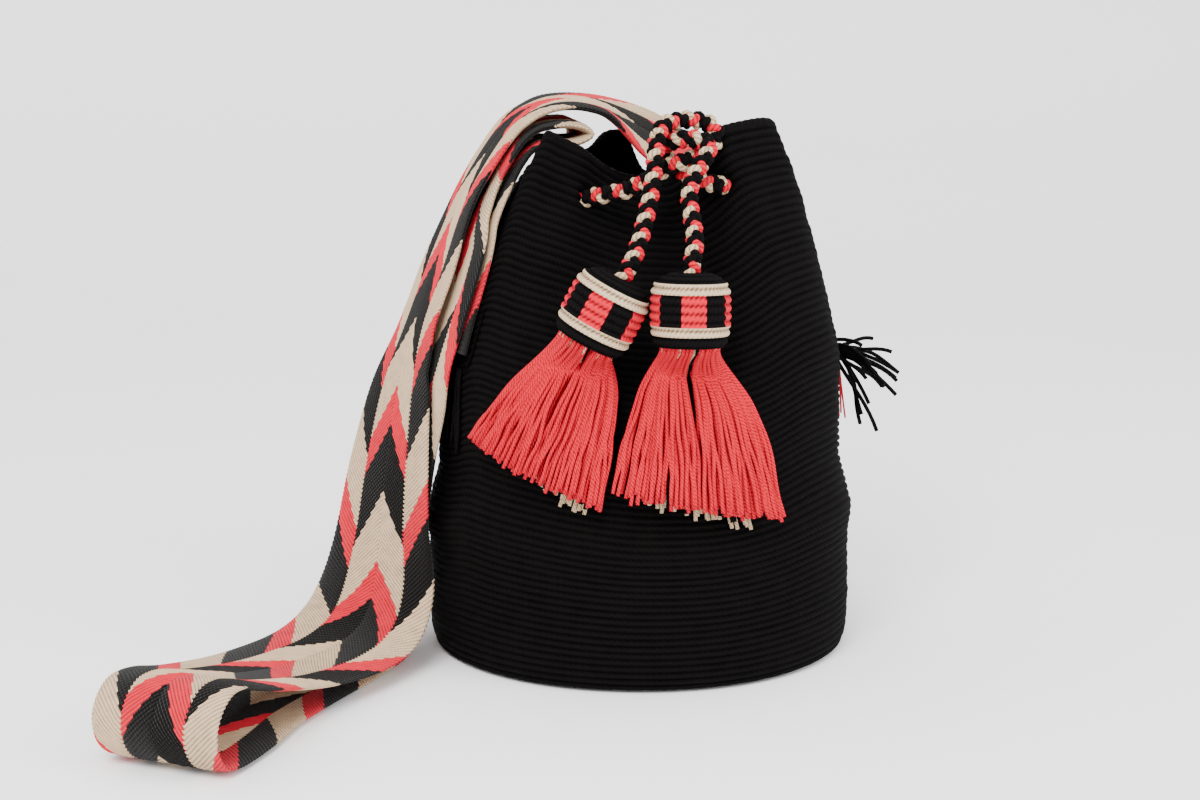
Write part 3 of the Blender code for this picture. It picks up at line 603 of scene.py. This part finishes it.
def strap_weave(name):
    """Ply-split cotton: the colours change along slanted lines that step with every ridge, with painted
    shade in the grooves between ridges.
    """
    material, tree, surface = start_material(name, 0.85, 0.08)

    def math_node(operation, first, second=0.0, third=0.0):
        values, links = {}, {}
        for slot, value in enumerate((first, second, third)):
            (values if isinstance(value, float) else links)[slot] = value
        return add_node(tree, "ShaderNodeMath", {"operation": operation, **values}, links).outputs[0]

    place = add_node(tree, "ShaderNodeUVMap", {"uv_map": "weave"})
    split = add_node(tree, "ShaderNodeSeparateXYZ", {}, {0: place.outputs[0]})
    across, along = split.outputs[0], split.outputs[1]
    twill = add_node(tree, "ShaderNodeUVMap", {"uv_map": "ridge"})
    ridge = add_node(tree, "ShaderNodeSeparateXYZ", {}, {0: twill.outputs[0]})
    ripple = math_node("SINE", math_node("MULTIPLY", ridge.outputs[1], 2 * math.pi))
    stepped = math_node("MULTIPLY_ADD", ripple, 0.7, along)
    off_centre = math_node("ABSOLUTE", across)
    inner = math_node("MULTIPLY_ADD", off_centre, -POINT_SLANT / QUARTER, stepped)
    outer = math_node("MULTIPLY_ADD", off_centre, POINT_SLANT / QUARTER, stepped)
    outer = math_node("ADD", outer, EDGE_LEAD - 2 * POINT_SLANT)
    notched = math_node("MULTIPLY_ADD", ripple, 0.5, off_centre)
    is_outer = math_node("GREATER_THAN", notched, QUARTER)
    difference = math_node("SUBTRACT", outer, inner)
    chosen = math_node("MULTIPLY_ADD", difference, is_outer, inner)
    period = math_node("DIVIDE", math_node("SUBTRACT", chosen, PATTERN_START), PATTERN_PERIOD)
    share = math_node("FRACT", math_node("ADD", period, 20.0))
    ramp = add_node(tree, "ShaderNodeValToRGB", {}, {0: share})
    ramp.color_ramp.interpolation = "CONSTANT"
    ramp.color_ramp.elements[0].color = linear("c4a888")
    ramp.color_ramp.elements[1].position = 0.40
    ramp.color_ramp.elements[1].color = linear("cc182e")
    ramp.color_ramp.elements.new(0.62).color = linear("0b0907")
    hairs = add_node(tree, "ShaderNodeTexNoise", {"Scale": 900.0, "Detail": 3.0})
    tone = add_node(tree, "ShaderNodeTexNoise", {"Scale": 60.0, "Detail": 3.0})
    # Painted shade: the pattern colour is darkened, down to 0.45, towards the grooves between the rope
    # ridges, with random tone noise mixed in.
    trough = math_node("PINGPONG", ridge.outputs[1], 0.5)
    depth = math_node("MULTIPLY_ADD", trough, 1.1, math_node("MULTIPLY", tone.outputs[0], 0.5))
    darker = add_node(tree, "ShaderNodeMapRange", {1: 0.2, 2: 0.62, 3: 0.45, 4: 1.0}, {0: depth})
    coloured = add_node(tree, "ShaderNodeVectorMath", {"operation": "SCALE"},
                        {0: ramp.outputs[0], "Scale": darker.outputs[0]})
    tree.links.new(coloured.outputs[0], surface.inputs["Base Color"])
    plies = math_node("PINGPONG", math_node("MULTIPLY_ADD", ridge.outputs[0], 0.8, trough), 0.5)
    height = math_node("MULTIPLY_ADD", hairs.outputs[0], 0.3, math_node("ADD", trough, plies))
    bump = add_node(tree, "ShaderNodeBump", {"Strength": 0.75, "Distance": 0.0007}, {"Height": height})
    tree.links.new(bump.outputs[0], surface.inputs["Normal"])
    return material


# Across one face, from the back edge to the front edge, closer together beside each groove.
half_columns = np.array([0, 0.8, 3.4, 9.0, 14.6, 17.2, 18.0, 18.8, 21.4, 27.0, 32.2, 35.0, 36.0])
face_u = np.r_[-half_columns[:0:-1], half_columns]
loop_u = np.r_[face_u, face_u[-2:0:-1]]
loop_side = np.r_[np.full(len(face_u), 1.0), np.full(len(face_u) - 2, -1.0)]
ridge_slope = np.interp(loop_u, [-36, -18, 0, 18, 36], [-1.0, 16.2, 0.0, 21.6, 5.4])
edge_share = np.abs(loop_u) / (STRAP_WIDTH / 2)
half_thick = (STRAP_THICK / 2 - 0.35) * (1 - edge_share ** 9) ** 0.5
groove = sum(np.exp(-((loop_u - line) / 0.9) ** 2) for line in (-QUARTER, 0.0, QUARTER))
half_thick = half_thick - 0.55 * groove

row_phase = np.arange(0, strap_length / RIDGE_PITCH * 3 + 1) / 3
row_v = np.minimum(row_phase * RIDGE_PITCH, strap_length)
taper = ease(np.minimum(row_v, strap_length - row_v) / 60.0)[:, None]
grid_v = np.clip(row_v[:, None] + ridge_slope[None] * taper, 0, strap_length)
grid_u = np.repeat(loop_u[None], len(row_v), axis=0)
grid_u = grid_u + np.where(edge_share > 0.99, 0.35 * np.sin(row_phase * 2 * math.pi)[:, None], 0.0)
surface_points = band_point(grid_u, grid_v)
reach_v = np.clip(grid_v + 1.5, 0, strap_length)
back_v = np.clip(grid_v - 1.5, 0, strap_length)
down = band_point(grid_u, reach_v) - band_point(grid_u, back_v)
BAND_EDGE = 36.4
over = (band_point(np.minimum(grid_u + 1, BAND_EDGE), grid_v)
        - band_point(np.maximum(grid_u - 1, -BAND_EDGE), grid_v))
face_out = np.cross(over, down)
face_out /= np.linalg.norm(face_out, axis=-1)[..., None]
rope = 0.75 * (1 - np.abs(2 * (row_phase % 1.0) - 1) ** 2)[:, None] * (1 - edge_share ** 12)[None]
offset = loop_side * np.maximum(half_thick[None] + rope - 0.25, 0.0)
strap_grid = surface_points + face_out * offset[..., None]

rows, columns = strap_grid.shape[:2]
row, col = np.meshgrid(np.arange(rows - 1), np.arange(columns), indexing="ij")
following = (col + 1) % columns
corners = ((row, col), (row, following), (row + 1, following), (row + 1, col))
quads = np.stack([r * columns + c for r, c in corners], axis=-1).reshape(-1, 4)
weave_uv = np.stack([value for r, c in corners for value in (grid_u[r, c], grid_v[r, c])], axis=-1)
ridge_uv = np.stack([value for r, c in corners for value in (grid_u[r, c], row_phase[r])], axis=-1)
strap = add_mesh("shoulder_strap_weave", strap_grid.reshape(-1, 3), quads,
                 [strap_weave("ply_split_cotton_weave")], None, weave_uv.reshape(-1, 8), "weave")
strap.data.uv_layers.new(name="ridge").data.foreach_set("uv", ridge_uv.astype(np.float32).ravel())
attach(strap, "bag")
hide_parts("shoulder_strap")

# ---- seams and fringe at the strap's ends ----
# Each end is sewn to the wall with doubled black cotton, and its warp yarns are left long in a
# loose tuft below the seam.
for side in ("right", "left"):
    seam = frame["nodes"]["strap_seam_" + side]
    seam.data.materials.clear()
    seam.data.materials.append(black_crochet)

tuft_root = np.array([114.5, 1.0, 165.0])
tuft = []
for k in range(20):
    heading = np.array([rng.uniform(0.25, 1.0), rng.uniform(-0.7, 0.15), rng.uniform(-0.75, 0.35)])
    heading /= np.linalg.norm(heading)
    length = rng.uniform(24, 40)
    steps = np.linspace(0, 1, 14)[:, None]
    bend = np.array([0, 0, -1.0]) * rng.uniform(8, 17)
    curl = rng.normal(0, 2.0, 3)
    strand = (tuft_root + rng.normal(0, 1.2, 3) + heading * length * steps + bend * steps ** 2.2
              + curl * np.sin(steps * math.pi * 1.5))
    tuft.append((strand, 1.15, 0))
for k in range(3):
    steps = np.linspace(0, 1, 12)[:, None]
    fall = np.array([rng.uniform(-3, 3), rng.uniform(-8, 0), -34.0])
    tuft.append((tuft_root + (3, -2, -4) + fall * steps + rng.normal(0, 1.5, 3) * steps ** 2, 0.55, 1))
fringe_right = build_yarns("strap_tuft_right", tuft, 7, [black_yarn, pink_yarn])
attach(fringe_right, "bag")
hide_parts("strap_fringe_right")

left_yarns = []
for k in range(26):
    start = 187 + rng.uniform(-15, 15)
    heights = np.linspace(166, 121 + rng.uniform(-3, 6), 12)
    lean = rng.uniform(0.0, 0.14)
    line = [on_wall(start - lean * (163 - z), z, 2.2 + rng.uniform(-0.2, 0.2)) for z in heights]
    left_yarns.append((np.array(line), 1.0, 0))
fringe_left = build_yarns("strap_tuft_left", left_yarns, 7, [black_yarn])
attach(fringe_left, "bag")
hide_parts("strap_fringe_left")

# ---- tassel caps ----
# A crocheted cup in black, with two beige rounds and five pink blocks, drawn over the knotted end
# of each cord.
TASSELS = {
    "right": {"cap": (1.6, -119.9, 206.5), "axis": (0.02, 0.06, 1.0), "top": (272.0, 16.0),
              "low": (272.5, 21.0), "z_top": 186.5, "z_low": (112.0, 96.0), "turn": 64.0},
    "left": {"cap": (-41.8, -108.0, 206.0), "axis": (0.45, -0.10, 0.88), "top": (243.0, 16.0),
             "low": (232.0, 17.5), "z_top": 187.0, "z_low": (135.0, 104.0), "turn": 48.0},
}
CAP_OUTLINE = [(4.6, 19.0), (8, 19.5), (13, 18.3), (17.5, 15.3), (19.6, 11.5), (20.3, 7), (20.5, 0),
               (20.4, -6), (19.6, -12), (18.4, -17), (17.2, -18.6), (16.0, -17.5), (15.6, -12)]
CAP_BLOCKS = 5
CAP_STITCHES = 50
CAP_ROUNDS = 13
ROWS_PER_CAP_ROUND = 5


def cap_frame(spec):
    """The cap's own directions: across it, across it the other way, and up its axis."""
    axis = np.array(spec["axis"]) / np.linalg.norm(spec["axis"])
    side = np.cross((0.0, -1.0, 0.0), axis)
    side /= np.linalg.norm(side)
    return side, np.cross(axis, side), axis


# Each crochet's second colour is painted shade for the grooves between its stitches and rounds.
cap_cottons = [crochet("black_cap_crochet", "0d0b0c", "020202", 0.6),
               crochet("pink_cap_crochet", PINK, "680410", 0.6, 0.02),
               crochet("beige_cap_crochet", BEIGE, "60462c", 0.6, 0.05)]
for name, spec in TASSELS.items():
    outline = smooth_curve(CAP_OUTLINE, CAP_ROUNDS * ROWS_PER_CAP_ROUND + 1)
    stitch_columns = CAP_STITCHES * 4
    turn = np.linspace(0, 2 * math.pi, stitch_columns, endpoint=False)
    level = np.arange(len(outline)) / ROWS_PER_CAP_ROUND
    bulge = 1.3 * (1 - np.abs(2 * (level % 1.0) - 1) ** 2.2)[:, None]
    slant = turn[None] * CAP_STITCHES + 1.6 * np.abs(2 * (level % 1.0) - 1)[:, None]
    bulge = bulge * (0.86 + 0.14 * np.cos(slant))
    lip = np.clip((19.5 - outline[:, 1]) / 3, 0, 1)[:, None]
    radius = outline[:, :1] + (bulge - 0.5) * lip
    height = outline[:, 1:] + np.zeros_like(turn)[None] + 0.4 * bulge * (1 - lip)
    side, other, axis = cap_frame(spec)
    spin = turn + math.radians(spec["turn"])
    ring = side * np.cos(spin)[:, None] + other * np.sin(spin)[:, None]
    cap_grid = (np.array(spec["cap"]) + radius[..., None] * ring[None] + height[..., None] * axis)
    band_row = np.repeat(((outline[:-1, 1] + outline[1:, 1]) / 2)[:, None], stitch_columns, axis=1)
    outside = (np.arange(len(outline) - 1) < CAP_ROUNDS * 3.7)[:, None]
    block = (np.floor(np.arange(stitch_columns) / stitch_columns * CAP_BLOCKS * 2) % 2 == 0)[None]
    slots = np.where((band_row < 9.5) & (band_row > -7.5) & block, 1, 0)
    beige_rows = ((band_row > 9.5) & (band_row < 14.5)) | ((band_row < -7.5) & (band_row > -12.8))
    slots = np.where(beige_rows, 2, slots) * outside
    cap = grid_mesh("tassel_cap_crochet_" + name, cap_grid,
                    np.linspace(0, CAP_STITCHES, stitch_columns + 1), level, cap_cottons, flip=True)
    cap.data.polygons.foreach_set("material_index", slots.ravel().astype(np.int32))
    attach(cap, "tassel_" + name)
    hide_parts("tassel_cap_" + name)

# ---- tassel skirts ----
# More than two hundred loose cotton yarns hang from under each cap: pink outside, black and
# beige behind.  They fan out over the front of the bag and are cut a little unevenly.
NECK_RADIUS = 15.0
NECK_SLIDE = -19.4
NECK_SHARE = 0.34
SPREAD = 0.6
YARN_RADIUS = 1.05
FAN_RADIUS = 118.0
LAYERS = (("pink", 150, 14.5, 9.0, 0.98, 0.0), ("black", 46, 7.4, 3.6, 0.74, 2.0),
          ("beige", 40, 1.9, 3.4, 0.70, 7.0))


def skirt_point(spec, share, across, depth, clear, thick, widen, drop):
    """A point in a skirt: how far down, how far to a side from -1 to 1, and how far out."""
    spread = share ** SPREAD
    middle = spec["top"][0] + (spec["low"][0] - spec["top"][0]) * share
    top_half = math.degrees(spec["top"][1] / FAN_RADIUS)
    half = (top_half + (spec["low"][1] - top_half) * spread) * widen
    low = (spec["z_low"][0] + spec["z_low"][1]) / 2 + across * (spec["z_low"][1] - spec["z_low"][0]) / 2
    z = spec["z_top"] + (low - drop - spec["z_top"]) * share
    oval = on_wall(middle + half * across, z, clear + thick * depth)
    side, other, axis = cap_frame(spec)
    neck = np.array(spec["cap"]) + axis * (NECK_SLIDE - 40.0 * share)
    disc = math.sqrt(max(0.0, 1 - across ** 2))
    round_neck = neck + NECK_RADIUS * (across * -side + disc * (2 * depth - 1) * -other)
    flow = float(ease(share / NECK_SHARE))
    return round_neck * (1 - flow) + oval * flow


for name, spec in TASSELS.items():
    for colour, count, clear, thick, widen, drop in LAYERS:
        strands = []
        for k in range(count):
            across = np.clip((k + 0.5) / count * 2 - 1 + rng.normal(0, 0.04), -1, 1)
            depth = rng.uniform(0, 1) if colour != "pink" else (k * 0.618) % 1.0
            depth = depth * math.sqrt(max(0.05, 1 - 0.75 * across ** 2))
            end = 1.0 + rng.normal(0, 0.018)
            wave = rng.uniform(0, 6.28, 3)
            size = rng.uniform(0.4, 1.5)
            line = []
            for share in np.linspace(0.0, end, 20):
                lean = across
                if colour == "pink":
                    lean = across + math.copysign(0.13, across) * (1 - share) ** 2 * (1 - abs(across))
                spot = skirt_point(spec, share, lean, depth, clear, thick, widen, drop)
                shake = size * share * np.sin(share * 7 + wave) + 0.5 * share * np.sin(share * 17 + wave)
                line.append(spot + shake)
            top = line[0] + cap_frame(spec)[2] * 7.0
            strands.append((smooth_curve([top] + line, 24), YARN_RADIUS, 0))
        yarn = {"pink": pink_yarn, "black": black_yarn, "beige": beige_yarn}[colour]
        skirt = build_yarns("tassel_skirt_" + colour + "_" + name, strands, 6, [yarn])
        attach(skirt, "tassel_" + name)
        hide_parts("tassel_yarn_" + colour + "_" + name)
    for node in ("tassel_knot_" + name, "tassel_binding_" + name):
        frame["nodes"][node].data.materials.clear()
        frame["nodes"][node].data.materials.append(black_yarn)

# ---- floor and light ----
# A pale seamless floor under two large soft lamps and an even white surround.
paper, paper_tree, paper_surface = start_material("pale_paper_floor", 0.95, 0.0)
grain = add_node(paper_tree, "ShaderNodeTexNoise", {"Scale": 40.0, "Detail": 4.0})
paper_ramp = add_node(paper_tree, "ShaderNodeValToRGB", {}, {0: grain.outputs[0]})
paper_ramp.color_ramp.elements[0].color = linear("fdfdfd")
paper_ramp.color_ramp.elements[1].color = linear("ffffff")
paper_tree.links.new(paper_ramp.outputs[0], paper_surface.inputs["Base Color"])
sweep = [(-2.0, 0.0), (1.2, 0.0), (1.5, 0.03), (1.75, 0.14), (1.9, 0.35), (1.95, 0.8), (1.95, 2.4)]
sweep_points = [(x, y, z) for y, z in sweep for x in (-3.0, 3.0)]
sweep_faces = [(2 * k, 2 * k + 1, 2 * k + 3, 2 * k + 2) for k in range(len(sweep) - 1)]
floor = add_mesh("floor", np.array(sweep_points) / MM, sweep_faces, [paper])

surround = bpy.data.worlds.new("studio")
surround.use_nodes = True
surround.node_tree.nodes["Background"].inputs[0].default_value = (1.0, 1.0, 1.0, 1.0)
surround.node_tree.nodes["Background"].inputs[1].default_value = 1.9
bpy.context.scene.world = surround
lamp_aim = Vector((0, 0, 0.15))
for name, place, size, power in (("key", (-0.7, -1.3, 1.3), 0.9, 40.0),
                                 ("fill", (1.2, -1.0, 0.8), 1.0, 14.0)):
    lamp = bpy.data.lights.new(name, "AREA")
    lamp.shape = "DISK"
    lamp.size = size
    lamp.energy = power
    holder = bpy.data.objects.new(name, lamp)
    holder.location = place
    holder.rotation_euler = (lamp_aim - Vector(place)).to_track_quat("-Z", "Y").to_euler()
    bpy.context.scene.collection.objects.link(holder)
